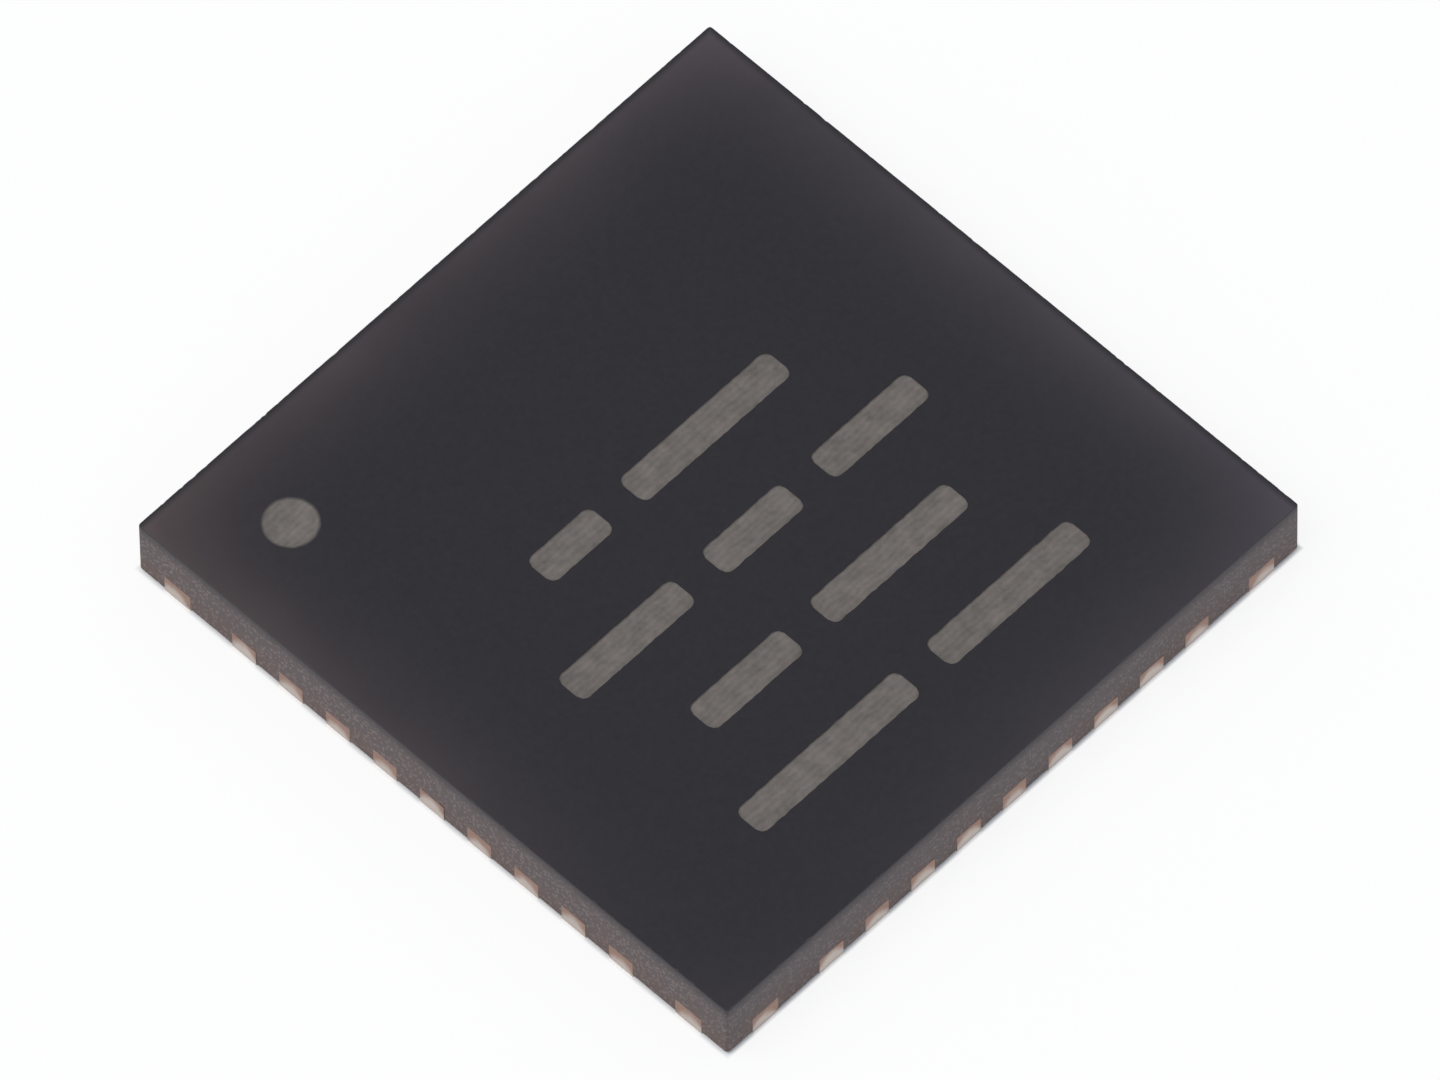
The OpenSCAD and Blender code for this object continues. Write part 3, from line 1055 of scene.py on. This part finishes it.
# White table paint: chalky and dull. It is drawn as plain white where it is seen, all but its shadows.
chalk_width, glow_most, foot_shadow = 3 * MM, 0.85, 30 * MICRON
white_paint = new_finish("white_table_matte")
tree = white_paint.node_tree
seen = seen_share(tree)
place = add_node(tree, "ShaderNodeTexCoord").outputs["Object"]
outward = from_middle(tree, place)
glow_share = add_node(tree, "ShaderNodeMapRange", {
    "Value": outward,
    "From Min": saw_plane,
    "From Max": saw_plane + foot_shadow,
    "To Max": glow_most,
}, interpolation_type="SMOOTHSTEP").outputs["Result"]
glow_share = add_node(tree, "ShaderNodeMath", {0: seen, 1: glow_share}, operation="MULTIPLY").outputs[0]
chalk = add_node(tree, "ShaderNodeTexNoise", {"Vector": place, "Scale": 1 / chalk_width}).outputs[0]
chalk = add_node(tree, "ShaderNodeMix", {
    0: chalk,
    6: linear("#f7f7f7"),
    7: linear("#fcfcfc"),
}, data_type="RGBA").outputs[2]
paint = add_node(tree, "ShaderNodeBsdfDiffuse", {"Color": chalk}).outputs[0]
glow = add_node(tree, "ShaderNodeEmission", {"Color": (1, 1, 1, 1), "Strength": 1.0}).outputs[0]
painted = add_node(tree, "ShaderNodeMixShader", {0: glow_share, 1: paint, 2: glow}).outputs[0]
add_node(tree, "ShaderNodeOutputMaterial", {"Surface": painted})
top = bmesh.new()
bmesh.ops.create_grid(top, x_segments=1, y_segments=1, size=table_size / MM / 2)
table = mesh_of(top, "table_top", white_paint)
table.data.transform(Matrix.Scale(MM, 4))

sky_level, cool_gain = 0.7, 0.12
sky = bpy.data.worlds.new("soft_white_sky")
bpy.context.scene.world = sky
sky.use_nodes = True
tree = sky.node_tree
tree.nodes.clear()
seen = seen_share(tree)
sky_strength = add_node(tree, "ShaderNodeMapRange", {"Value": seen, "To Min": sky_level}).outputs["Result"]
unseen = add_node(tree, "ShaderNodeMath", {0: 1.0, 1: seen}, operation="SUBTRACT").outputs[0]
way = add_node(tree, "ShaderNodeTexCoord").outputs["Generated"]
way = add_node(tree, "ShaderNodeSeparateXYZ", {"Vector": way}).outputs["Y"]
cool_side = add_node(tree, "ShaderNodeMapRange", {"Value": way, "From Max": -1.0}).outputs["Result"]
cool_side = add_node(tree, "ShaderNodeMath", {0: cool_side, 1: unseen}, operation="MULTIPLY").outputs[0]
sky_colour = add_node(tree, "ShaderNodeMix", {
    0: cool_side,
    6: linear("#ffffff"),
    7: linear("#e2efff"),
}, data_type="RGBA").outputs[2]
sky_strength = add_node(tree, "ShaderNodeMath", {
    0: cool_side,
    1: cool_gain,
    2: sky_strength,
}, operation="MULTIPLY_ADD").outputs[0]
light = add_node(tree, "ShaderNodeBackground", {"Color": sky_colour, "Strength": sky_strength}).outputs[0]
add_node(tree, "ShaderNodeOutputWorld", {"Surface": light})

lamp_place = Vector((-0.05, 0.02, 0.1))
lamp = bpy.data.lights.new("broad_lamp", "AREA")
lamp.shape = "DISK"
lamp.size = 0.08
lamp.energy = 0.045
lamp_holder = bpy.data.objects.new("broad_lamp", lamp)
lamp_holder.location = lamp_place
lamp_holder.rotation_euler = lamp_place.to_track_quat("Z", "Y").to_euler()
bpy.context.scene.collection.objects.link(lamp_holder)


# Camera: high over the corner between the two visible sides, far off behind a long lens. Its angles, aim
# and scale were fitted to the four corners of the top face.
azimuth, elevation, roll = (math.radians(angle) for angle in (-44.944, 58.213, -1.053))
distance = 0.23
aim = Vector((-0.1207, -0.132, body_top)) * MM
pixels_per_mm, frame_pixels = 164.408, 1440
sight = Vector((
    math.sin(azimuth) * math.cos(elevation),
    -math.cos(azimuth) * math.cos(elevation),
    math.sin(elevation),
))
camera = bpy.data.cameras.new("camera")
camera.sensor_fit = "HORIZONTAL"
camera.sensor_width = 36
camera.lens = camera.sensor_width * pixels_per_mm * (distance / MM) / frame_pixels
camera.clip_start, camera.clip_end = 0.01, 2.0
camera_holder = bpy.data.objects.new("camera", camera)
camera_holder.location = aim + sight * distance
turned = sight.to_track_quat("Z", "Y").to_matrix() @ Matrix.Rotation(roll, 3, "Z")
camera_holder.rotation_euler = turned.to_euler()
bpy.context.scene.collection.objects.link(camera_holder)
bpy.context.scene.camera = camera_holder
bpy.context.scene.view_settings.view_transform = "Standard"
